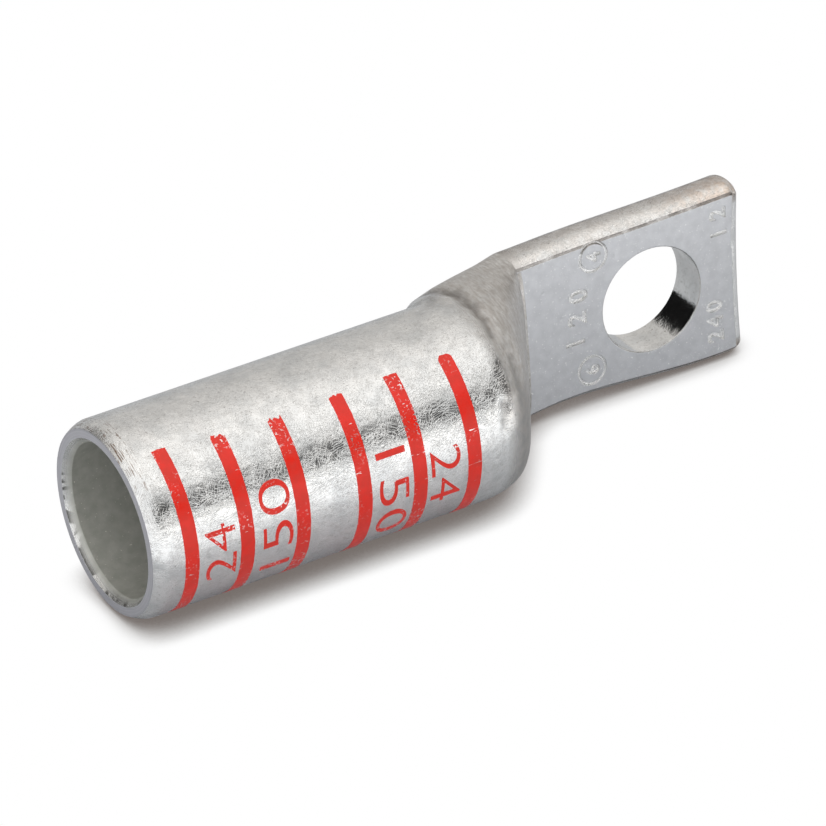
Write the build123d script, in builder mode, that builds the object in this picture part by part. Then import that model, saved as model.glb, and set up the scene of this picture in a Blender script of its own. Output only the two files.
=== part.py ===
# Compression connector: a one-hole lug pressed from one length of round copper tube.
# Millimetres, +Z up. The origin is on the barrel axis at the mouth, with +X towards the tongue.
# The lug lies as it comes to rest: on its barrel and on the lower side of its tongue.
import os
from math import asin, atan2, cos, hypot, pi, sin, sqrt, tan

from build123d import *

os.makedirs("parts", exist_ok=True)

# Barrel: the round end, which takes the stranded cable.
bore_diameter = 18.8
barrel_wall = 2.6
barrel_length = 45.4
mouth_chamfer = 0.4

# Tongue: the flat end, which is bolted down. Depths are measured from the barrel axis.
tongue_front_depth = 6.9
tongue_thickness = 5.4
tongue_length = 31.25
tongue_waist_distance = 4.2
# Its sections, at the root, the waist, the bolt hole and the end: the half widths above and below the
# axis, how far the sides stand out of the pressed faces, and how square they are.
tongue_upper_half_widths = [10.5, 10.9, 11.2, 11.55]
tongue_lower_half_widths = [10.75, 10.4, 11.1, 11.2]
side_fullnesses = [0.9, 1.7, 1.9, 1.9]
side_squarenesses = [4.0, 2.7, 2.5, 2.5]
round_outline = 2.0
# Its sheared end.
tongue_end_hollow = 0.7
tongue_end_skew = 0.6
tongue_end_rounding = 1.6

# Bolt hole through the tongue, placed by its distance from the tongue's end.
bolt_hole_diameter = 13.5
bolt_hole_end_distance = 13.25
bolt_hole_edge_break = 0.12

# Seam at the tongue's end, where the two walls of the tube are pressed together.
seam_depth = 0.3
seam_width = 0.16
seam_side_margin = 2.6

# Transition: the shoulder and the slope between the barrel and the tongue. The powers set how early
# along it the widest line moves back, the back flattens and each half of the section turns square.
transition_length = 14.4
shoulder_radius = 7.3
side_bulge = 0.2
widest_line_power = 1.5
back_line_power = 2.0
front_squareness_power = 2.0
back_squareness_power = 0.6
die_wall_run = 0.35
die_wall_start = 0.15
pinch_gap = 3.0

# Ink bands across the front of the barrel: three where each of the two crimps goes.
bands_per_crimp = 3
band_mouth_margin = 4.7
band_shoulder_margin = 3.35
band_crimp_gap = 8.15
band_width = 1.8
band_half_angle = 60.5
band_thickness = 0.05

barrel_radius = bore_diameter / 2 + barrel_wall
tongue_start = barrel_length + transition_length
tongue_end = tongue_start + tongue_length
bolt_hole_station = tongue_end - bolt_hole_end_distance
tongue_mid_depth = tongue_front_depth + tongue_thickness / 2
tongue_back_depth = tongue_front_depth + tongue_thickness
full_half_depth = tongue_thickness / 2 + side_fullnesses[0]
slope_end_depth = tongue_mid_depth - full_half_depth

# The slope leaves the shoulder arc as its tangent and ends at the start of the tongue.
slope_rise = slope_end_depth + barrel_radius - shoulder_radius
slope_chord = hypot(slope_rise, transition_length)
slope_angle = atan2(slope_rise, transition_length) + asin(shoulder_radius / slope_chord)
shoulder_length = shoulder_radius * sin(slope_angle)


def front_depth(station):
    """Depth of the outer front line, which is straight, then the shoulder arc, then the slope."""
    run = station - barrel_length
    if run <= shoulder_length:
        return shoulder_radius - barrel_radius - sqrt(shoulder_radius**2 - run**2)
    return slope_end_depth - (tongue_start - station) * tan(slope_angle)


def front_angle(station):
    """Angle between the outer front line and the barrel axis, in radians."""
    run = station - barrel_length
    return asin(run / shoulder_radius) if run <= shoulder_length else slope_angle


def share(station):
    """How far a station lies along the transition, from 0 at the barrel to 1 at the tongue."""
    return (station - barrel_length) / transition_length


def half_width(station, root_half_width):
    """Half the width of the section on one side, which swells a little just behind the shoulder."""
    s = share(station)
    swell = side_bulge * sin(pi * sqrt(s))
    return barrel_radius + (root_half_width - barrel_radius) * s + swell


def widest_depth(station):
    """Depth at which the section is widest."""
    return tongue_mid_depth * share(station) ** widest_line_power


def back_depth(station):
    """Depth of the outer back line, which bows out a little to reach the tongue."""
    spread = tongue_mid_depth + full_half_depth - barrel_radius
    return barrel_radius + spread * share(station) ** back_line_power


def front_squareness(station):
    """Exponent of the front half of the outline: 2 is round, and more is squarer."""
    return round_outline + (side_squarenesses[0] - round_outline) * share(station) ** front_squareness_power


def back_squareness(station):
    """The back half is pressed square early, so that it bulges at its corners behind the shoulder."""
    return round_outline + (side_squarenesses[0] - round_outline) * share(station) ** back_squareness_power


def lowest_reach(roll):
    """How far the lower side of the tongue reaches below the barrel axis when the lug is rolled."""
    power = side_squarenesses[-1] / (side_squarenesses[-1] - 1)
    end_half_depth = tongue_thickness / 2 + side_fullnesses[-1]
    across = (end_half_depth * abs(sin(roll))) ** power + (tongue_lower_half_widths[-1] * cos(roll)) ** power
    return tongue_mid_depth * sin(roll) + across ** (1 / power)


# The roll at which the barrel and the tongue touch the floor together, found by halving.
roll_low, roll_high = -pi / 4, pi / 4
for halving in range(40):
    rest_roll = (roll_low + roll_high) / 2
    if lowest_reach(rest_roll) < barrel_radius:
        roll_low = rest_roll
    else:
        roll_high = rest_roll

# Directions of the rolled lug: into its depth, from the front face to the back, and up its width.
depth_direction = Vector(0, cos(rest_roll), -sin(rest_roll))
width_direction = Vector(0, sin(rest_roll), cos(rest_roll))


def section_plane(station):
    """Plane across the axis, with depth along its x and width along its y."""
    return Plane(origin=(station, 0, 0), x_dir=depth_direction, z_dir=(1, 0, 0))


# Plane of the tongue's front outline, with the axis along its x and its normal out of the front.
front_plane = Plane(origin=(0, 0, 0), x_dir=(1, 0, 0), z_dir=-depth_direction)
# Plane of the side outline, with the axis along its x and depth along its y.
side_plane = Plane(origin=(0, 0, 0), x_dir=(1, 0, 0), z_dir=width_direction)

# Points of each outline, and sections of the shoulder (as shares of its arc) and of the slope.
outline_points = 24
shoulder_shares = [0.3, 0.65]
slope_section_count = 4


def rounded_outline(front, widest, back, lower, upper, front_power, back_power):
    """Points of a closed outline whose front and back halves lie between an ellipse and a rectangle."""
    points = []
    for index in range(outline_points):
        angle = 2 * pi * index / outline_points
        c, s = cos(angle), sin(angle)
        reach, power = (back - widest, back_power) if c >= 0 else (front - widest, front_power)
        across = reach * abs(c) ** (2 / power)
        up = (upper if s >= 0 else -lower) * abs(s) ** (2 / power)
        points.append((widest + across, up))
    return points


# Stations of the transition: along the shoulder's arc, then along the slope.
shoulder_end = barrel_length + shoulder_length
shoulder_stations = [barrel_length + shoulder_length * part_way for part_way in shoulder_shares]


def slope_stations(end):
    """Even stations from the end of the shoulder's arc to the given end."""
    pitch = (end - shoulder_end) / (slope_section_count - 1)
    return [shoulder_end + pitch * step for step in range(slope_section_count)]


# The cavity follows the outside, one wall in, until its own walls have come within the pinch gap.
pinch_depth = slope_end_depth + barrel_wall / cos(slope_angle) + pinch_gap
cavity_end = tongue_start - (pinch_depth - tongue_back_depth + barrel_wall) / tan(slope_angle)

# Sections of the tongue's pressed tube: station, half widths below and above, half depth, squareness.
tongue_stations = [tongue_start, tongue_start + tongue_waist_distance, bolt_hole_station, tongue_end]
tongue_half_depths = [tongue_thickness / 2 + fullness for fullness in side_fullnesses]
tongue_sections = zip(
    tongue_stations,
    tongue_lower_half_widths,
    tongue_upper_half_widths,
    tongue_half_depths,
    side_squarenesses,
)

# The lug itself: barrel, transition and tongue in one piece of tube.
with BuildPart() as lug_body:
    # The tongue's pressed tube, with full sides, before its faces are pressed flat.
    for station, lower, upper, half_depth, squareness in tongue_sections:
        with BuildSketch(section_plane(station)):
            with BuildLine():
                tongue_outline = rounded_outline(
                    tongue_mid_depth - half_depth,
                    tongue_mid_depth,
                    tongue_mid_depth + half_depth,
                    lower,
                    upper,
                    squareness,
                    squareness,
                )
                Spline(tongue_outline, periodic=True)
            make_face()
    loft()
    # Its end is sheared to a shallow hollow, a little out of square.
    with BuildSketch(front_plane):
        with BuildLine():
            end_line = ThreePointArc(
                (tongue_end, barrel_radius),
                (tongue_end - tongue_end_hollow, 0),
                (tongue_end - tongue_end_skew, -barrel_radius),
            )
            Polyline(
                end_line @ 1,
                (barrel_length, -barrel_radius),
                (barrel_length, barrel_radius),
                end_line @ 0,
            )
        make_face()
    extrude(amount=2 * barrel_radius, both=True, mode=Mode.INTERSECT)
    # Shoulder and slope.
    with BuildSketch(section_plane(barrel_length)):
        Circle(barrel_radius)
    for station in shoulder_stations + slope_stations(tongue_start):
        with BuildSketch(section_plane(station)):
            with BuildLine():
                transition_outline = rounded_outline(
                    front_depth(station),
                    widest_depth(station),
                    back_depth(station),
                    half_width(station, tongue_lower_half_widths[0]),
                    half_width(station, tongue_upper_half_widths[0]),
                    front_squareness(station),
                    back_squareness(station),
                )
                Spline(transition_outline, periodic=True)
            make_face()
    loft()
    # The press leaves flat faces on the tongue. The front die ends at the foot of the slope.
    with BuildSketch(side_plane):
        with BuildLine():
            Polyline(
                (tongue_start + die_wall_start, slope_end_depth - side_fullnesses[-1]),
                (tongue_start + die_wall_start + die_wall_run, tongue_front_depth),
                (tongue_end + barrel_radius, tongue_front_depth),
                (tongue_end + barrel_radius, slope_end_depth - side_fullnesses[-1]),
                close=True,
            )
        make_face()
        with Locations((barrel_length, tongue_back_depth)):
            Rectangle(tongue_end, barrel_radius, align=(Align.MIN, Align.MIN))
    extrude(amount=2 * barrel_radius, both=True, mode=Mode.SUBTRACT)
    fillet(lug_body.faces().sort_by(Axis.X)[-1].edges(), tongue_end_rounding)
    # Barrel, with its bore.
    with BuildSketch(section_plane(0)):
        Circle(barrel_radius)
    extrude(amount=barrel_length)
    with BuildSketch(section_plane(0)):
        Circle(bore_diameter / 2)
    extrude(amount=barrel_length, mode=Mode.SUBTRACT)
    # Inside the transition the bore narrows until its walls are pinched together.
    with BuildSketch(section_plane(barrel_length)):
        Circle(bore_diameter / 2)
    for station in shoulder_stations + slope_stations(cavity_end):
        with BuildSketch(section_plane(station)):
            with BuildLine():
                cavity_front = front_depth(station) + barrel_wall / cos(front_angle(station))
                cavity_back = min(back_depth(station), tongue_back_depth) - barrel_wall
                cavity_outline = rounded_outline(
                    cavity_front,
                    max(widest_depth(station), (cavity_front + cavity_back) / 2),
                    cavity_back,
                    half_width(station, tongue_lower_half_widths[0]) - barrel_wall,
                    half_width(station, tongue_upper_half_widths[0]) - barrel_wall,
                    front_squareness(station),
                    back_squareness(station),
                )
                Spline(cavity_outline, periodic=True)
            make_face()
    loft(ruled=True, mode=Mode.SUBTRACT)
    # Bolt hole.
    with BuildSketch(front_plane):
        with Locations((bolt_hole_station, 0)):
            Circle(bolt_hole_diameter / 2)
    extrude(amount=-2 * barrel_radius, mode=Mode.SUBTRACT)
    bolt_hole_edges = lug_body.edges().filter_by(GeomType.CIRCLE).filter_by(
        lambda edge: abs(edge.radius - bolt_hole_diameter / 2) < 0.001
    )
    chamfer(bolt_hole_edges, bolt_hole_edge_break)
    # The mouth is chamfered inside, for the cable, and outside.
    chamfer(lug_body.faces().sort_by(Axis.X)[0].edges(), mouth_chamfer)
    # Seam of the two walls at the tongue's end.
    seam_length = 2 * (tongue_lower_half_widths[-1] - seam_side_margin)
    with BuildSketch(section_plane(tongue_end - tongue_end_hollow - seam_depth)):
        with Locations((tongue_mid_depth, 0)):
            Rectangle(seam_width, seam_length)
    extrude(amount=barrel_radius, mode=Mode.SUBTRACT)
lug_body.part.label = "lug_body"
export_step(lug_body.part, "parts/lug_body.step")

# Ink bands, printed round the front of the barrel. One group is set out from the mouth, the other
# from the shoulder, with one pitch between the bands of both.
band_margins = band_mouth_margin + band_shoulder_margin + band_crimp_gap
band_pitch = (barrel_length - band_margins) / (2 * (bands_per_crimp - 1))
mouth_bands = [band_mouth_margin + band_pitch * count for count in range(bands_per_crimp)]
shoulder_bands = [mouth_bands[-1] + band_crimp_gap + band_pitch * count for count in range(bands_per_crimp)]
for number, station in enumerate(mouth_bands + shoulder_bands, start=1):
    with BuildPart() as band:
        with BuildSketch(section_plane(station - band_width / 2)):
            with BuildLine():
                inner = CenterArc((0, 0), barrel_radius, 180 - band_half_angle, 2 * band_half_angle)
                outer = CenterArc(
                    (0, 0), barrel_radius + band_thickness, 180 - band_half_angle, 2 * band_half_angle
                )
                Line(inner @ 0, outer @ 0)
                Line(inner @ 1, outer @ 1)
            make_face()
        extrude(amount=band_width)
    band.part.label = f"crimp_band_{number}"
    export_step(band.part, f"parts/crimp_band_{number}.step")
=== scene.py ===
from math import cos, exp, hypot, pi, radians, sin

import bmesh
import bpy
from mathutils import Matrix, Vector, noise


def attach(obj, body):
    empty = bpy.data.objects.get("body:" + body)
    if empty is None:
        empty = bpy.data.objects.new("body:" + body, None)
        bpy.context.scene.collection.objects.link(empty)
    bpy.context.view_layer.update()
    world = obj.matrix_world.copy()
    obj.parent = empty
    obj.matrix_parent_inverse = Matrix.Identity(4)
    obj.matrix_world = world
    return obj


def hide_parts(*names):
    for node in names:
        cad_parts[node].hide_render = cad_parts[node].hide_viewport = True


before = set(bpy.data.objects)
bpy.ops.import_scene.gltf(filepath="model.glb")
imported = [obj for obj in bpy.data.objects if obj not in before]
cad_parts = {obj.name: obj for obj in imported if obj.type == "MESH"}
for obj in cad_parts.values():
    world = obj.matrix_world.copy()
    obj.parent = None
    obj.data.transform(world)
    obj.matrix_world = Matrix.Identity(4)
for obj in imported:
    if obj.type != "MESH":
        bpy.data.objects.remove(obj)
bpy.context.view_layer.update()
mm = 0.001

# Lug body: one length of copper tube, pressed flat at one end, punched for a bolt and tin plated. The
# solid's facets are merged and shaded smooth, its mouth is turned down and countersunk, the press leaves
# creases and dents beside the shoulder, and the marks are struck into the flat end.
barrel_radius = 12.0 * mm
barrel_length = 45.4 * mm
bore_radius = 9.4 * mm
cavity_end = 57.3 * mm
tongue_start = 59.8 * mm
bolt_hole_station = 77.8 * mm
bolt_hole_radius = 6.75 * mm
tongue_lean = radians(4.872)
tongue_face_depth = 6.9 * mm
tongue_back_depth = 12.3 * mm
out_of_face = Vector((0, -cos(tongue_lean), sin(tongue_lean)))
up_the_face = Vector((0, sin(tongue_lean), cos(tongue_lean)))


def linear(hex_colour):
    """sRGB hex to the linear colour that the nodes take."""
    channels = [int(hex_colour[i : i + 2], 16) / 255 for i in (1, 3, 5)]
    channels = [c / 12.92 if c <= 0.04045 else ((c + 0.055) / 1.055) ** 2.4 for c in channels]
    return (*channels, 1.0)


def add_node(tree, kind, inputs=None, output=0, **settings):
    """Adds a node and returns an output. An input is a value, a hex colour or another node's output."""
    node = tree.nodes.new(kind)
    for name, value in settings.items():
        setattr(node, name, value)
    for socket, value in (inputs or {}).items():
        if isinstance(value, bpy.types.NodeSocket):
            tree.links.new(value, node.inputs[socket])
        elif isinstance(value, str):
            node.inputs[socket].default_value = linear(value)
        else:
            node.inputs[socket].default_value = value
    return node.outputs[output]


def mask(tree, *terms):
    """The product of its terms. A term is another node's output, or a ramp, (source, start, end) for one
    that goes from 0 to 1, or (source, start, end, low, high)."""
    product = None
    for term in terms:
        if isinstance(term, tuple):
            source, start, end, low, high = (*term, 0.0, 1.0)[:5]
            ramp = {"Value": source, "From Min": start, "From Max": end, "To Min": low, "To Max": high}
            term = add_node(tree, "ShaderNodeMapRange", ramp)
        if product is None:
            product = term
        else:
            product = add_node(tree, "ShaderNodeMath", {0: product, 1: term}, operation="MULTIPLY")
    return product


def millimetres(tree, shift=(0.0, 0.0, 0.0), stretch=(1.0, 1.0, 1.0)):
    """Object coordinates in millimetres, shifted, and divided by a stretch along each axis."""
    here = add_node(tree, "ShaderNodeTexCoord", output="Object")
    scale = [1 / (mm * part) for part in stretch]
    return add_node(tree, "ShaderNodeMapping", {"Vector": here, "Location": shift, "Scale": scale})


# Bright tin over copper, tumbled with other lugs: satin, with fine scratches in all directions, small
# dents and a slight mottle, which break its reflections up. The flat faces are duller, from the press,
# and the bore is grey and matt. Turning marks and a hint of bare copper show at the mouth.
tin = bpy.data.materials.new("tin_plate_tumbled")
tin.use_nodes = True
tree = tin.node_tree
shader = tree.nodes["Principled BSDF"]

# Where a point of the lug is, in millimetres: along it, from its axis, on the tongue and from the hole.
place = millimetres(tree)
along, sideways, upwards = add_node(tree, "ShaderNodeSeparateXYZ", {0: place}).node.outputs
across_axis = add_node(tree, "ShaderNodeCombineXYZ", {"Y": sideways, "Z": upwards})
from_axis = add_node(tree, "ShaderNodeVectorMath", {0: across_axis}, "Value", operation="LENGTH")
depth, up_face = [
    add_node(tree, "ShaderNodeVectorMath", {0: place, 1: tuple(heading)}, "Value", operation="DOT_PRODUCT")
    for heading in (-out_of_face, up_the_face)
]
past_hole = add_node(tree, "ShaderNodeMath", {0: along, 1: bolt_hole_station / mm}, operation="SUBTRACT")
across_hole = add_node(tree, "ShaderNodeCombineXYZ", {"X": past_hole, "Y": up_face})
from_hole = add_node(tree, "ShaderNodeVectorMath", {0: across_hole}, "Value", operation="LENGTH")


def draw_patterns(tree, patterns):
    """Soft noises, about 0.25 to 0.75, from (coordinates, cycles per millimetre, detail, distortion)."""
    return {
        name: add_node(
            tree, "ShaderNodeTexNoise",
            {"Vector": vector, "Scale": scale, "Detail": detail, "Distortion": distortion}, "Fac",
        )
        for name, (vector, scale, detail, distortion) in patterns.items()
    }


pattern = draw_patterns(tree, {
    "waves": (place, 0.16, 1.0, 0.0),
    "mottle": (place, 0.9, 3.0, 0.0),
    "grain": (place, 4.2, 2.0, 0.0),
    "ripple": (millimetres(tree, stretch=(1.0, 0.5, 0.5)), 0.9, 2.0, 0.0),
    "turning": (millimetres(tree, stretch=(0.12, 3.0, 3.0)), 1.0, 2.0, 0.0),
    "tint": (place, 0.35, 3.0, 0.0),
    "streaks": (millimetres(tree, stretch=(0.35, 1.4, 0.7)), 1.1, 3.0, 0.0),
    "smudge": (place, 2.0, 4.0, 0.8),
    "ring_lines": (add_node(tree, "ShaderNodeCombineXYZ", {"X": from_axis}), 3.0, 1.0, 0.0),
    "reflection_spots": (place, 0.32, 3.0, 0.5),
    "polish": (place, 0.5, 2.0, 0.0),
})
mottle = pattern["mottle"]
grain = pattern["grain"]

# Scratches are the edges of stretched cells on slightly curled coordinates. They are drawn as coarse as
# they need to be to show.
curl = add_node(tree, "ShaderNodeTexNoise", {"Vector": place, "Scale": 0.5, "Detail": 1.0}, "Color")
curled = add_node(
    tree, "ShaderNodeVectorMath", {0: curl, 1: (0.9, 0.9, 0.9), 2: place}, operation="MULTIPLY_ADD"
)


def scratches(heading, length, spacing, width, share):
    """Fine lines on the front of the lug, at a heading in degrees to its axis, broken into short lengths."""
    front_normal = Vector((0, -0.87, 0.5))
    up = Vector((0, 0.5, 0.87))
    line = Vector((cos(radians(heading)), 0, 0)) + up * sin(radians(heading))
    turn = Matrix((line, front_normal.cross(line), front_normal)).transposed().to_euler()
    stretched = add_node(
        tree, "ShaderNodeMapping", {
            "Vector": curled, "Rotation": turn,
            "Scale": (length, spacing, spacing), "Location": (heading, 0, 0),
        }, vector_type="TEXTURE",
    )
    cells = {"Vector": stretched, "Scale": 1.0}
    to_line = add_node(tree, "ShaderNodeTexVoronoi", cells, "Distance", feature="DISTANCE_TO_EDGE")
    patches = millimetres(tree, (heading, heading, 0))
    broken = add_node(tree, "ShaderNodeTexNoise", {"Vector": patches, "Scale": 0.55, "Detail": 1.0}, "Fac")
    return mask(tree, (to_line, 0.0, width, 1.0, 0.0), (broken, 1 - share, 1.04 - share))


scratch_layers = [
    (12, 1.9, 0.27, 0.06, 0.55),
    (58, 1.5, 0.25, 0.06, 0.55),
    (103, 1.7, 0.27, 0.06, 0.55),
    (151, 2.2, 0.3, 0.06, 0.55),
    (78, 3.4, 0.8, 0.03, 0.52),
]
scratched = 0.0
for layer in scratch_layers:
    scratched = add_node(tree, "ShaderNodeMath", {0: scratches(*layer), 1: scratched}, operation="ADD")

# Small dents: about a third of the cells have one in the middle.
to_dent = add_node(tree, "ShaderNodeTexVoronoi", {"Vector": place, "Scale": 0.55}, "Distance")
dent_cell = to_dent.node.outputs["Color"]
dent_draw = add_node(tree, "ShaderNodeSeparateColor", {0: dent_cell}, "Red")
dented = mask(tree, (to_dent, 0.05, 0.16, 1.0, 0.0), (dent_draw, 0.62, 0.66))

# The flat faces, the bore, the bolt hole's wall and the turned mouth.
on_front, on_back, beside_front = [
    add_node(tree, "ShaderNodeMath", {0: depth, 1: level, 2: reach}, operation="COMPARE")
    for level, reach in (
        (tongue_face_depth / mm, 0.03), (tongue_back_depth / mm, 0.03), (tongue_face_depth / mm + 0.17, 0.12),
    )
]
on_tongue = mask(tree, (along, tongue_start / mm - 0.2, tongue_start / mm - 0.05))
on_faces = add_node(tree, "ShaderNodeMath", {0: on_front, 1: on_back}, operation="ADD")
flat = mask(tree, on_faces, on_tongue)
bore = add_node(tree, "ShaderNodeAttribute", output="Fac", attribute_name="inside")
hole_wall = mask(tree, (from_hole, bolt_hole_radius / mm + 0.1, bolt_hole_radius / mm + 0.02))
at_mouth = mask(tree, (along, 1.7, 2.3, 1.0, 0.0))

# The relief in millimetres. Waves, mottle, scratches and ripple stay off the flat faces, the bore and the
# hole's wall, and the grain and the small dents are everywhere.
relief = 0.0
for source, height in (
    (pattern["waves"], 0.12), (mottle, 0.018), (scratched, -0.008), (pattern["ripple"], 0.010),
):
    relief = add_node(tree, "ShaderNodeMath", {0: source, 1: height, 2: relief}, operation="MULTIPLY_ADD")
smooth_parts = flat
for smooth_part in (bore, hole_wall):
    smooth_parts = add_node(tree, "ShaderNodeMath", {0: smooth_parts, 1: smooth_part}, operation="MAXIMUM")
relief = mask(tree, relief, (smooth_parts, 0.0, 1.0, 1.0, 0.0))
for source, height in (
    (mask(tree, hole_wall, mottle), 0.03), (grain, 0.0105), (dented, -0.02),
    (mask(tree, pattern["turning"], at_mouth), 0.014),
):
    relief = add_node(tree, "ShaderNodeMath", {0: source, 1: height, 2: relief}, operation="MULTIPLY_ADD")
soft_edges = add_node(tree, "ShaderNodeBevel", {"Radius": 0.11 * mm}, samples=4)
bump = add_node(
    tree, "ShaderNodeBump", {"Strength": 1.0, "Distance": mm, "Height": relief, "Normal": soft_edges}
)
tree.links.new(bump, shader.inputs["Normal"])

# Colours that vary between two tones. A colour mix has its colours on sockets 6 and 7, and output 2.
two_tones = {
    "plate": (pattern["tint"], 0.4, 0.65, "#e9e9e8", "#d9dada"),
    "worn_front": (mottle, 0.35, 0.6, "#9a9998", "#aba7a3"),
    "painted_side_shade": (mottle, 0.4, 0.6, "#b3aeaa", "#938e8a"),
    "end_face": (pattern["ring_lines"], 0.35, 0.6, "#c4c3c8", "#d8d7dc"),
    "flat": (mottle, 0.35, 0.65, "#d6d7da", "#cdced1"),
    "bore": (mottle, 0.3, 0.7, "#bdbdb6", "#abaca4"),
}
tone = {
    name: add_node(
        tree, "ShaderNodeMix", {"Factor": mask(tree, (source, start, end)), 6: first, 7: second}, 2,
        data_type="RGBA",
    )
    for name, (source, start, end, first, second) in two_tones.items()
}

# Where the lug is worn or marked, and where shade is painted. The slope beyond the shoulder is worn, most at
# the front. The tongue's sides begin where its face ends, copper shows warm at their far end, and painted
# shade darkens them towards the back. The press creases and a line beside the front face get painted shade.
worn_slope = mask(tree, (along, 46.6, 49.2), (along, 61.5, 60.2))
in_crease = add_node(tree, "ShaderNodeAttribute", output="Fac", attribute_name="crease_shade")
off_middle = mask(tree, (add_node(tree, "ShaderNodeMath", {0: up_face}, operation="ABSOLUTE"), 9.0, 10.2))
tongue_sides = mask(tree, on_tongue, off_middle, (mottle, 0.35, 0.6, 0.3, 1.0))
painted_side_shade = mask(tree, on_tongue, off_middle, (depth, 8.6, 11.0, 0.0, 0.75))
painted_groove_shade = mask(tree, beside_front, off_middle, on_tongue, (mottle, 0.3, 0.5, 0.4, 0.85))
bare_copper = mask(
    tree, (pattern["turning"], 0.5, 0.62), at_mouth, (upwards, 7.5, 10.5), (mottle, 0.45, 0.55)
)

# The mouth: its flat ring lies outside the countersink's edge, and below the middle that edge carries dark
# spots, a painted reflection.
countersink_edge = 10.15
end_face = mask(
    tree, (along, 0.06, 0.02), (from_axis, countersink_edge - 0.01, countersink_edge + 0.05)
)
painted_edge_reflection = mask(
    tree, (from_axis, countersink_edge + 0.01, countersink_edge - 0.05), (along, 1.1, 0.9),
    (bore, 0.0, 1.0, 1.0, 0.0), (pattern["reflection_spots"], 0.5, 0.53), (upwards, 2.5, 1.0),
)

# The floors and walls of the struck marks: a few tenths below the tongue's face, and off the hole's edge.
stamp_top = tongue_face_depth / mm + 0.03
stamp_bottom = tongue_face_depth / mm + 0.4
stamped = mask(
    tree, (depth, stamp_top, stamp_top + 0.04), (depth, stamp_bottom + 0.05, stamp_bottom),
    on_tongue, (off_middle, 0.1, 0.0), (from_hole, bolt_hole_radius / mm + 0.2, bolt_hole_radius / mm + 0.3),
    (mottle, 0.3, 0.6, 0.45, 1.0),
)

# The coats of colour in the order that they are laid over the plate: how much each covers, and its colour.
coats = [
    (mask(tree, worn_slope, (pattern["streaks"], 0.3, 0.7, 0.3, 1.0)), "#bcb7b2"),
    (mask(tree, worn_slope, (sideways, -6.5, -9.5, 0.0, 0.85)), tone["worn_front"]),
    # Painted shade, dark grey, in the bottoms of the press creases.
    (mask(tree, in_crease, (mottle, 0.3, 0.55, 0.3, 1.0)), "#68635f"),
    (tongue_sides, "#dfdcd9"),
    (mask(tree, tongue_sides, (along, 79.0, 90.0)), "#d6c5b7"),
    # Painted shade on the tongue's sides, darker towards the back.
    (painted_side_shade, tone["painted_side_shade"]),
    # Painted shade: a dark line along the front face's top and bottom edges, as in a groove.
    (painted_groove_shade, "#75706d"),
    (bare_copper, "#7b6656"),
    (mask(tree, (grain, 0.64, 0.72, 0.0, 0.6)), "#8f8b88"),
    (mask(tree, (pattern["smudge"], 0.5, 0.66, 0.0, 0.25)), "#a9a5a1"),
    (end_face, tone["end_face"]),
    # Painted dark reflection on the countersink's edge, below the middle.
    (painted_edge_reflection, "#3d3c3b"),
    (stamped, "#f6f6f6"),
    (flat, tone["flat"]),
    (mask(tree, flat, (grain, 0.66, 0.72)), "#f4f4f4"),
    (bore, tone["bore"]),
    (mask(tree, bore, (grain, 0.7, 0.74)), "#f0efe6"),
]
colour = tone["plate"]
for share, coat in coats:
    colour = add_node(tree, "ShaderNodeMix", {"Factor": share, 6: colour, 7: coat}, 2, data_type="RGBA")
tree.links.new(colour, shader.inputs["Base Color"])

# The tumbled plate is fairly bright, the pressed and worn parts are duller, and the sheared hole is bright.
roughness = mask(tree, (pattern["polish"], 0.35, 0.65, 0.15, 0.26))
for dull_part, dullness in ((worn_slope, 0.44), (end_face, 0.4), (flat, 0.46), (bore, 0.6)):
    dulled = add_node(tree, "ShaderNodeMath", {0: dull_part, 1: dullness}, operation="MULTIPLY")
    roughness = add_node(tree, "ShaderNodeMath", {0: roughness, 1: dulled}, operation="MAXIMUM")
sheared = mask(tree, (hole_wall, 0.0, 1.0, 1.0, 0.1))
roughness = add_node(tree, "ShaderNodeMath", {0: roughness, 1: sheared}, operation="MINIMUM")
tree.links.new(roughness, shader.inputs["Roughness"])
tree.links.new(mask(tree, (bore, 0.0, 1.0, 1.0, 0.25)), shader.inputs["Metallic"])

# The marks are struck with punches, square to the face. All read upwards, with their tops to the barrel.
# The rings leave grooves with sloping walls, the figures grooves with straight walls. Each has its station
# along the lug, its height up the face, its size and its letter spacing in millimetres.
stamps = [
    ("0", 67.75, 3.75, 2.5, 1),
    ("2", 67.4, 0.8, 2.5, 1),
    ("1", 67.0, -2.35, 2.5, 1),
    ("12", 87.35, 7.0, 2.2, 1.75),
    ("240", 86.25, -5.8, 2.2, 1.35),
]
stamp_rings = [("4", 70.15, 8.25), ("6", 69.1, -6.6)]
stamp_ring_radius = 1.83 * mm
stamp_ring_half_line = 0.3 * mm
stamp_depth = 0.34 * mm
punch_half_length = 0.4 * mm
punch_weight = 0.12 * mm
punches = bmesh.new()


def text_bmesh(words, size, half_thickness, weight, resolution=8, spacing=1.0):
    """A solid bmesh of text, centred on the origin. The font's figures are figure_share of its size high."""
    figure_share = 0.729
    curve = bpy.data.curves.new("text", "FONT")
    curve.body = words
    curve.size = size / figure_share
    curve.align_x = "CENTER"
    curve.resolution_u = resolution
    curve.space_character = spacing
    curve.extrude = half_thickness
    curve.offset = weight
    holder = bpy.data.objects.new("text", curve)
    bpy.context.collection.objects.link(holder)
    bpy.context.view_layer.update()
    mesh = bpy.data.meshes.new_from_object(holder)
    bm = bmesh.new()
    bm.from_mesh(mesh)
    bmesh.ops.translate(bm, verts=bm.verts, vec=(0, -size / 2, 0))
    bpy.data.objects.remove(holder)
    bpy.data.curves.remove(curve)
    bpy.data.meshes.remove(mesh)
    return bm


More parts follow.
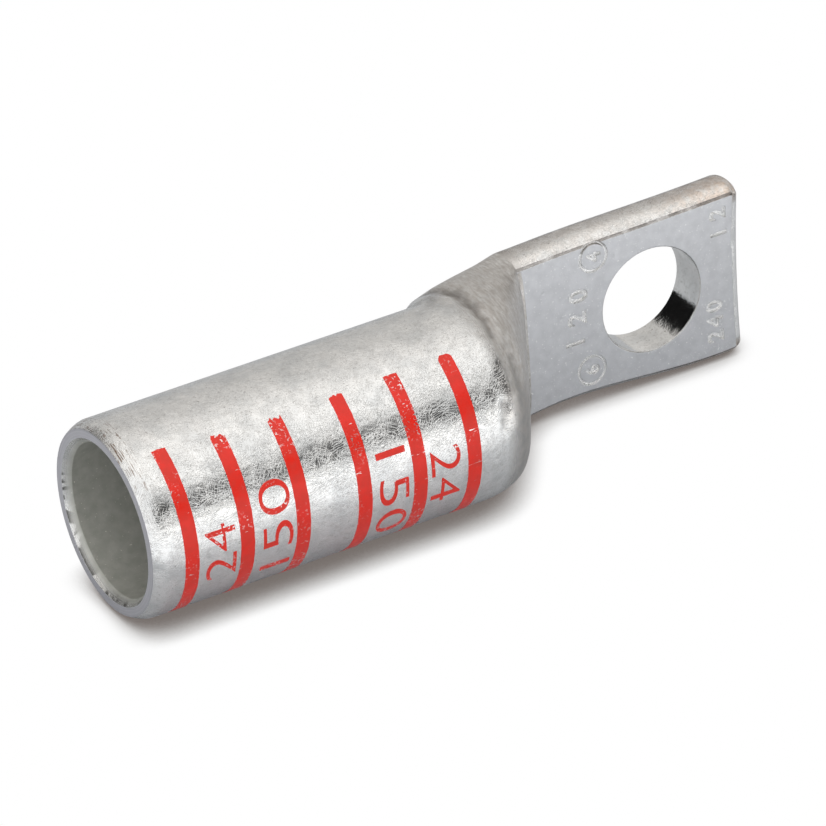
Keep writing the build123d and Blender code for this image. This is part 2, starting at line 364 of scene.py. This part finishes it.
def strike(punch, station, height):
    """Turns a punch, modelled round z = 0, onto the tongue's front face and adds it to the others."""
    centre = Vector((station * mm, 0, 0)) + up_the_face * height * mm
    centre += out_of_face * (punch_half_length - stamp_depth - tongue_face_depth)
    turn = Matrix((up_the_face, (-1, 0, 0), out_of_face)).transposed().to_4x4()
    bmesh.ops.transform(punch, matrix=Matrix.Translation(centre) @ turn, verts=punch.verts)
    bmesh.ops.remove_doubles(punch, verts=punch.verts, dist=0.0002 * mm)
    bmesh.ops.recalc_face_normals(punch, faces=punch.faces)
    struck = bpy.data.meshes.new("punch")
    punch.to_mesh(struck)
    punch.free()
    punches.from_mesh(struck)
    bpy.data.meshes.remove(struck)


for words, station, height, size, spacing in stamps:
    strike(text_bmesh(words, size * mm, punch_half_length, punch_weight, 4, spacing), station, height)
for words, station, height in stamp_rings:
    strike(text_bmesh(words, stamp_ring_radius, punch_half_length, punch_weight, 4), station, height)
    ring = bmesh.new()
    profile = [
        ring.verts.new((stamp_ring_radius + across * stamp_ring_half_line, 0, up * punch_half_length))
        for across, up in ((-0.3, -1), (0.3, -1), (1.2, 1), (-1.2, 1))
    ]
    ring_face = ring.faces.new(profile)
    bmesh.ops.spin(ring, geom=ring_face.edges[:], angle=2 * pi, steps=48, axis=(0, 0, 1), use_merge=True)
    bmesh.ops.delete(ring, geom=[ring_face], context="FACES_ONLY")
    strike(ring, station, height)

# A few nicks were picked up in the tumbler: station along the lug, height up the face and radius. Each is
# turned by the number of its station, so that no two lie the same way.
nicks = [
    (73.0, 7.55, 0.35),
    (61.8, 2.4, 0.16),
    (64.3, 3.1, 0.2),
    (88.4, 6.1, 0.16),
    (66.2, -8.6, 0.12),
    (82.9, -7.2, 0.14),
]
nick_floor = 0.1
nick_narrowness = 0.45
for station, height, radius in nicks:
    nick = bmesh.new()
    bmesh.ops.create_icosphere(nick, subdivisions=2, radius=radius * mm)
    bmesh.ops.scale(nick, verts=nick.verts, vec=(1.0, nick_narrowness, 1.0))
    bmesh.ops.rotate(nick, verts=nick.verts, matrix=Matrix.Rotation(station, 3, "Z"))
    bmesh.ops.translate(nick, verts=nick.verts, vec=(0, 0, (radius - nick_floor) * mm))
    strike(nick, station, height)


def new_piece(name, bm, material, smooth_angle):
    """Makes the finished bmesh an object, shaded smooth but for edges over the given angle."""
    for face in bm.faces:
        face.smooth = True
    for edge in bm.edges:
        edge.smooth = len(edge.link_faces) == 2 and edge.calc_face_angle(0.0) < smooth_angle
    mesh = bpy.data.meshes.new(name)
    bm.to_mesh(mesh)
    bm.free()
    mesh.materials.append(material)
    piece = bpy.data.objects.new(name, mesh)
    bpy.context.collection.objects.link(piece)
    return piece


bm = bmesh.new()
bm.from_mesh(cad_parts["lug_body"].data)
bmesh.ops.remove_doubles(bm, verts=bm.verts, dist=0.002 * mm)

# The mouth's outer edge is turned down over its last two millimetres, and its inner edge is countersunk.
mouth_run = 1.9 * mm
mouth_drop = 0.75 * mm
mouth_fullness = 1.7
mouth_rings = (0.1, 0.25, 0.6, 0.9, 1.2, 1.4, 1.6, 1.75, 1.9)
outer_side = bore_radius + 1.5 * mm
inner_edge_radius = countersink_edge * mm
inner_edge_depth = 0.95 * mm
for station in mouth_rings:
    outside = [f for f in bm.faces if min(hypot(v.co.y, v.co.z) for v in f.verts) > outer_side]
    edges = {edge for face in outside for edge in face.edges}
    verts = {vert for face in outside for vert in face.verts}
    bmesh.ops.bisect_plane(
        bm, geom=[*outside, *edges, *verts], dist=0.001 * mm,
        plane_co=(station * mm, 0, 0), plane_no=(1, 0, 0),
    )
for vert in bm.verts:
    x, y, z = vert.co
    radius = hypot(y, z)
    if x < mouth_run and radius > outer_side:
        turned = barrel_radius - mouth_drop * (1 - max(x, 0.0) / mouth_run) ** mouth_fullness
        vert.co = (x, y * turned / radius, z * turned / radius)
    elif x < 0.02 * mm and radius > bore_radius + 0.2 * mm:
        vert.co = (x, y * inner_edge_radius / radius, z * inner_edge_radius / radius)
    elif 0.2 * mm < x < 0.8 * mm:
        vert.co = (inner_edge_depth, y, z)

# Soft creases and dents where the press folds the tube: the ends of each, its reach and its depth. They
# fade out before the barrel, so that the bands lie on it unmoved. Their bottoms get painted shade, which the
# material reads from a vertex attribute.
press_marks = [
    ((47.9, 9.2, 9.7), (49.7, 5.8, 11.2), 1.1, 0.36),
    ((49.7, 5.8, 11.2), (49.8, 1.8, 11.5), 1.0, 0.38),
    ((49.8, 1.8, 11.5), (49.7, -0.8, 11.5), 0.8, 0.3),
    ((49.7, -0.8, 11.5), (49.2, -4.4, 10.6), 0.8, 0.26),
    ((46.4, 3.6, 11.6), (46.9, 6.4, 10.8), 1.5, 0.22),
    ((48.0, 1.6, 11.8), (47.8, -2.4, 11.6), 1.2, -0.05),
    ((47.4, -5.2, 10.6), (47.1, -7.3, 9.4), 1.5, -0.16),
    ((46.9, -10.4, 5.4), (46.4, -11.4, 3.0), 0.7, 0.26),
    ((48.9, -9.8, 5.6), (48.6, -10.9, 2.6), 1.3, -0.16),
    ((50.4, -6.6, 8.6), (50.2, -8.3, 6.4), 1.0, 0.24),
    ((51.4, -5.0, 9.0), (52.2, -6.6, 7.2), 0.9, -0.14),
    ((54.5, 2.5, 9.3), (57.5, 5.8, 9.6), 1.6, 0.22),
]
longest_edge = 0.45 * mm
barrel_fade = 1.4 * mm
crease_shade_strength = 2.0
crease_shade_narrowness = 1.3
folded = [
    edge for edge in bm.edges
    if all(barrel_length - 0.1 * mm < vert.co.x < tongue_start + 0.1 * mm for vert in edge.verts)
    and edge.calc_length() > longest_edge
]
bmesh.ops.subdivide_edges(bm, edges=folded, cuts=1, smooth=0.0, use_grid_fill=True)
crease_shade = bm.verts.layers.float.new("crease_shade")
for start, end, reach, mark_depth in press_marks:
    start, end = Vector(start) * mm, Vector(end) * mm
    bm.normal_update()
    for vert in bm.verts:
        if not barrel_length < vert.co.x < tongue_start:
            continue
        share = max(0.0, min(1.0, (vert.co - start).dot(end - start) / (end - start).length_squared))
        distance = (vert.co - start - share * (end - start)).length / (reach * mm)
        off_barrel = min(1.0, (vert.co.x - barrel_length) / barrel_fade)
        vert.co -= vert.normal * mark_depth * mm * off_barrel * exp(-(distance**2))
        crease_shading = crease_shade_strength * mark_depth * exp(-((crease_shade_narrowness * distance) ** 2))
        vert[crease_shade] = max(vert[crease_shade], crease_shading)

# The inside is marked for the material. In the fold, its faces look at a line that swings off the axis
# to the middle of the tongue, slowly at first.
swing = 1.5
inside = bm.verts.layers.float.new("inside")
for vert in bm.verts:
    x, y, z = vert.co
    share = min(1.0, max(0.0, (x - barrel_length) / (tongue_start - barrel_length)))
    middle = Vector((x, 0, 0)) - out_of_face * share**swing * (tongue_face_depth + tongue_back_depth) / 2
    if x < barrel_length:
        within = hypot(y, z) < bore_radius + 0.02 * mm
    else:
        within = vert.normal.dot(vert.co - middle) < 0
    vert[inside] = 1.0 if within and x < cavity_end + 0.1 * mm else 0.0

# The punches are cut out of the plain body, and the slivers that the cut leaves are dissolved.
lug_smoothing = radians(24)
plain_body = new_piece("plain_body", bm, tin, lug_smoothing)
punch_set = new_piece("punch_set", punches, tin, lug_smoothing)
cut = plain_body.modifiers.new("stamps", "BOOLEAN")
cut.object = punch_set
cut.operation = "DIFFERENCE"
cut.solver = "EXACT"
cut.use_self = True
struck_mesh = bpy.data.meshes.new_from_object(plain_body.evaluated_get(bpy.context.evaluated_depsgraph_get()))
bm = bmesh.new()
bm.from_mesh(struck_mesh)
bmesh.ops.triangulate(bm, faces=bm.faces)
bmesh.ops.dissolve_degenerate(bm, edges=bm.edges, dist=0.0005 * mm)
for temporary in (plain_body, punch_set):
    bpy.data.objects.remove(temporary)
body = new_piece("lug_body_plated", bm, tin, lug_smoothing)
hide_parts("lug_body")
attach(body, "root")

# Crimp bands: red ink printed round the front of the barrel, a few hundredths of a millimetre thick.
# They mark where the crimping tool closes. Their ends are ragged, where the ink ran out.
ink_thickness = 0.02 * mm
band_width = 1.8 * mm
band_bottom_angle = radians(-55.6)
band_stations = [4.75, 12.0, 19.35, 27.5, 34.85, 42.1]
band_top_angles = [67.0, 63.0, 62.0, 63.0, 64.0, 65.0]
band_raggedness = [0.08, 0.45, 0.5, 0.3, 0.08, 0.1]
band_roundness = [0.06, 0.15, 0.2, 0.15, 0.04, 0.5]
edge_wobble = 0.035 * mm
sampled_length = 26.0
ragged_share = 0.1
ink_smoothing = radians(40)

# Printed ink: opaque, slightly glossy and uneven, with specks and hair lines where it has chipped off.
ink = bpy.data.materials.new("printed_red_ink")
ink.use_nodes = True
tree = ink.node_tree
shader = tree.nodes["Principled BSDF"]
shader.inputs["Specular IOR Level"].default_value = 0.4
place = millimetres(tree)
pattern = draw_patterns(tree, {
    "uneven": (place, 0.8, 3.0, 0.0),
    "stipple": (place, 2.2, 3.0, 0.0),
    "wear": (millimetres(tree, (31.0, 0.0, 0.0)), 0.2, 1.0, 0.0),
    "specks": (place, 3.4, 2.0, 0.6),
    "hairs": (millimetres(tree, stretch=(2.2, 0.35, 0.35)), 1.3, 1.0, 1.2),
})
lighter = mask(tree, (pattern["uneven"], 0.35, 0.65))
red = add_node(tree, "ShaderNodeMix", {"Factor": lighter, 6: "#ee2a1a", 7: "#e03022"}, 2, data_type="RGBA")
tree.links.new(red, shader.inputs["Base Color"])
tree.links.new(mask(tree, (pattern["uneven"], 0.35, 0.65, 0.28, 0.42)), shader.inputs["Roughness"])
stipple = add_node(tree, "ShaderNodeMath", {0: pattern["stipple"], 1: 0.02}, operation="MULTIPLY")
ink_surface = add_node(tree, "ShaderNodeBump", {"Strength": 1.0, "Distance": mm, "Height": stipple})
tree.links.new(ink_surface, shader.inputs["Normal"])
specks = mask(tree, (pattern["specks"], 0.61, 0.64), (pattern["wear"], 0.47, 0.62))
hairs = mask(tree, (pattern["hairs"], 0.74, 0.76))
chips = add_node(tree, "ShaderNodeMath", {0: specks, 1: hairs}, operation="MAXIMUM")
bare_tin = add_node(
    tree, "ShaderNodeBsdfPrincipled",
    {"Base Color": "#e9e9e8", "Metallic": 1.0, "Roughness": 0.28, "Normal": ink_surface},
)
chipped = add_node(tree, "ShaderNodeMixShader", {"Fac": chips, 1: shader.outputs[0], 2: bare_tin})
tree.links.new(chipped, tree.nodes["Material Output"].inputs["Surface"])


def wrap_on_barrel(bm):
    """Bends a solid print, with x along the barrel and y round it, onto the front of the barrel."""
    for vert in bm.verts:
        along, around, up = vert.co
        angle = around / barrel_radius
        radius = barrel_radius + up
        vert.co = (along, -radius * cos(angle), radius * sin(angle))
    if bm.calc_volume(signed=True) < 0:
        bmesh.ops.reverse_faces(bm, faces=bm.faces)


band_shapes = zip(band_stations, band_top_angles, band_raggedness, band_roundness)
for number, (station, top_angle, raggedness, roundness) in enumerate(band_shapes, start=1):
    top = radians(top_angle) * barrel_radius
    bottom = band_bottom_angle * barrel_radius
    bm = bmesh.new()
    bmesh.ops.create_grid(bm, x_segments=14, y_segments=190, size=0.5)
    for vert in bm.verts:
        # Each band reads its own stretch of the noise, for the wobble of its edges and its ragged ends.
        across = vert.co.x * band_width
        share = vert.co.y + 0.5
        sample = Vector((station * 0.7 + across / mm, share * sampled_length, number * 3.1))
        wobble = noise.noise(sample * 1.4) * edge_wobble * abs(vert.co.x) * 2
        coarse = noise.noise(Vector((sample.x * 2.6, number * 7.7, 0.0)))
        fine = noise.noise(Vector((sample.x * 6.0, number * 4.1, 5.0)))
        end = (raggedness * (coarse + 0.5 * fine) - roundness * (2 * vert.co.x) ** 4) * mm
        near_end = max(0.0, share - 1 + ragged_share) - max(0.0, ragged_share - share)
        around = bottom + (top - bottom) * share + end * near_end / ragged_share
        vert.co = (station * mm + across + wobble, around, -ink_thickness)
    bmesh.ops.solidify(bm, geom=bm.faces, thickness=-2 * ink_thickness)
    wrap_on_barrel(bm)
    band = new_piece(f"crimp_band_{number}_ink", bm, ink, ink_smoothing)
    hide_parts(f"crimp_band_{number}")
    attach(band, "root")

# Die numbers: plain numbers in the same ink between the bands, so that they can be read from either end.
# Each has its station along the barrel, its angle round it, its heading and the length that it fills, and
# is cut into narrow slices, so that it bends evenly round the barrel.
digit_height = 4.2 * mm
digit_weight = -0.05 * mm
slice_width = 0.4
digit_prints = [
    ("24", 8.45, -2.0, 1, 7.5),
    ("150", 15.85, -3.0, 1, 12.3),
    ("150", 31.5, -1.0, -1, 12.3),
    ("24", 38.4, -2.5, -1, 7.5),
]
for number, (words, station, angle, heading, span) in enumerate(digit_prints, start=1):
    bm = text_bmesh(words, digit_height, ink_thickness, digit_weight)
    bmesh.ops.remove_doubles(bm, verts=bm.verts, dist=0.0002 * mm)
    width = max(v.co.x for v in bm.verts) - min(v.co.x for v in bm.verts)
    bmesh.ops.scale(bm, verts=bm.verts, vec=(span * mm / width, 1, 1))
    cut = -span / 2
    while cut < span / 2:
        bmesh.ops.bisect_plane(
            bm, geom=bm.verts[:] + bm.edges[:] + bm.faces[:], plane_co=(cut * mm, 0, 0), plane_no=(1, 0, 0)
        )
        cut += slice_width
    bmesh.ops.rotate(bm, verts=bm.verts, matrix=Matrix.Rotation(heading * pi / 2, 3, "Z"))
    bmesh.ops.translate(bm, verts=bm.verts, vec=(station * mm, radians(angle) * barrel_radius, 0))
    wrap_on_barrel(bm)
    digits = new_piece(f"die_number_{number}", bm, ink, ink_smoothing)
    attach(digits, "root")

# Table: a white sheet. The camera sees it as white but for a painted shadow, darkest where the lug touches,
# and the metal sees it lit, with a painted glow that grows away from the lug, as under the studio's lights.
floor_height = -12.0 * mm
sheet_half_width = 1.5
bm = bmesh.new()
sheet_place = Matrix.Translation((0, 0, floor_height))
bmesh.ops.create_grid(bm, x_segments=1, y_segments=1, size=sheet_half_width, matrix=sheet_place)
table_paper = bpy.data.materials.new("white_paper_sheet")
table_paper.use_nodes = True
tree = table_paper.node_tree
tree.nodes.clear()
seen_by_camera = add_node(tree, "ShaderNodeLightPath", output="Is Camera Ray")
seen_in_metal = add_node(tree, "ShaderNodeLightPath", output="Is Glossy Ray")
in_front = add_node(tree, "ShaderNodeSeparateXYZ", {0: millimetres(tree)}, "Y")
# Painted shadow: white, darkened where an ambient-occlusion test finds the lug within a few millimetres.
open_sky = add_node(tree, "ShaderNodeAmbientOcclusion", {"Distance": 4.5 * mm}, "AO", samples=12)
unshaded = mask(tree, (open_sky, 0.25, 0.8))
shade = add_node(tree, "ShaderNodeMix", {"Factor": unshaded, 6: "#77706c", 7: "#ffffff"}, 2, data_type="RGBA")
# Painted glow: in the metal's reflections the sheet gives off light further from the lug, though it is no
# lamp.
painted_spill = mask(tree, seen_in_metal, (in_front, -29.0, -50.0, 0.0, 0.8))
diffuse = add_node(tree, "ShaderNodeBsdfDiffuse", {"Color": "#cbced2"})
painted_spill_glow = add_node(tree, "ShaderNodeEmission", {"Strength": painted_spill})
lit = add_node(tree, "ShaderNodeAddShader", {0: diffuse, 1: painted_spill_glow})
seen_paper = add_node(tree, "ShaderNodeEmission", {"Color": shade})
seen = add_node(tree, "ShaderNodeMixShader", {"Fac": seen_by_camera, 1: lit, 2: seen_paper})
tree.links.new(seen, tree.nodes.new("ShaderNodeOutputMaterial").inputs["Surface"])
table = new_piece("table", bm, table_paper, radians(30))

# Studio: a wide soft light overhead, a dark wall behind the camera between it and a low white card, a
# warm grey wall behind the lug, and a black flag behind it at the left, which the bolt hole's wall mirrors.
world = bpy.data.worlds.new("studio")
bpy.context.scene.world = world
world.use_nodes = True
tree = world.node_tree
tree.nodes.clear()
direction = add_node(tree, "ShaderNodeTexCoord", output="Generated")
to_right, to_back, to_top = add_node(tree, "ShaderNodeSeparateXYZ", {0: direction}).node.outputs
height = mask(tree, (to_top, -1.0, 1.0))
brightest = 1.7


def studio_wall(bands, tint):
    """Light by height: each band is (elevation in degrees, level), blended evenly between."""
    ramp = add_node(tree, "ShaderNodeValToRGB", {0: height})
    stops = ramp.node.color_ramp.elements
    while len(stops) < len(bands):
        stops.new(0.5)
    for stop, (elevation, level) in zip(stops, bands):
        stop.position = (sin(radians(elevation)) + 1) / 2
        stop.color = [level / brightest * part for part in linear(tint)[:3]] + [1]
    return ramp


front_bands = [(-30, 0.8), (-16, 1.6), (8, 1.7), (17, 0.08), (35, 0.07), (44, 1.3), (75, 1.3)]
left_bands = [(-30, 0.8), (-10, 1.2), (45, 1.25), (75, 1.3)]
rear_bands = [(-30, 0.5), (0, 0.66), (12, 0.74), (30, 0.62), (45, 0.62), (62, 1.08), (75, 1.3)]
flag = mask(tree, (to_right, -0.07, -0.11), (to_top, -0.08, -0.05), (to_back, 0.25, 0.4), (to_top, 0.6, 0.55))
walls = studio_wall(front_bands, "#fffefc")
for share, wall in (
    (mask(tree, (to_right, -0.25, -0.4)), studio_wall(left_bands, "#ffffff")),
    (mask(tree, (to_back, -0.3, 0.3)), studio_wall(rear_bands, "#fffcf8")),
    (flag, "#101010"),
):
    walls = add_node(tree, "ShaderNodeMix", {"Factor": share, 6: walls, 7: wall}, 2, data_type="RGBA")
studio = add_node(tree, "ShaderNodeBackground", {"Color": walls, "Strength": brightest})
white = add_node(tree, "ShaderNodeBackground", {"Color": "#ffffff", "Strength": 1.0})
seen_by_camera = add_node(tree, "ShaderNodeLightPath", output="Is Camera Ray")
seen = add_node(tree, "ShaderNodeMixShader", {"Fac": seen_by_camera, 1: studio, 2: white})
tree.links.new(seen, tree.nodes.new("ShaderNodeOutputWorld").inputs["Surface"])

# Camera: a long lens, a metre away, raised 34 degrees and 30 degrees round towards the mouth.
camera_data = bpy.data.cameras.new("camera")
camera = bpy.data.objects.new("camera", camera_data)
bpy.context.collection.objects.link(camera)
bpy.context.scene.camera = camera
image_width = 826
focal_length_pixels = 8873
camera_data.sensor_width = 36.0
camera_data.lens = focal_length_pixels * camera_data.sensor_width / image_width
camera_azimuth = radians(-29.909)
camera_elevation = radians(33.711)
camera_roll = radians(-1.422)
camera_distance = 1027.64 * mm
aim_point = Vector((40.84, -0.111, 0.484)) * mm
towards_camera = Vector((
    sin(camera_azimuth) * cos(camera_elevation),
    -cos(camera_azimuth) * cos(camera_elevation),
    sin(camera_elevation),
))
camera.location = aim_point + towards_camera * camera_distance
turn = (-towards_camera).to_track_quat("-Z", "Y").to_matrix() @ Matrix.Rotation(camera_roll, 3, "Z")
camera.rotation_euler = turn.to_euler()
camera_data.clip_start = 0.05
camera_data.clip_end = 20.0

view = bpy.context.scene.view_settings
view.view_transform = "Standard"
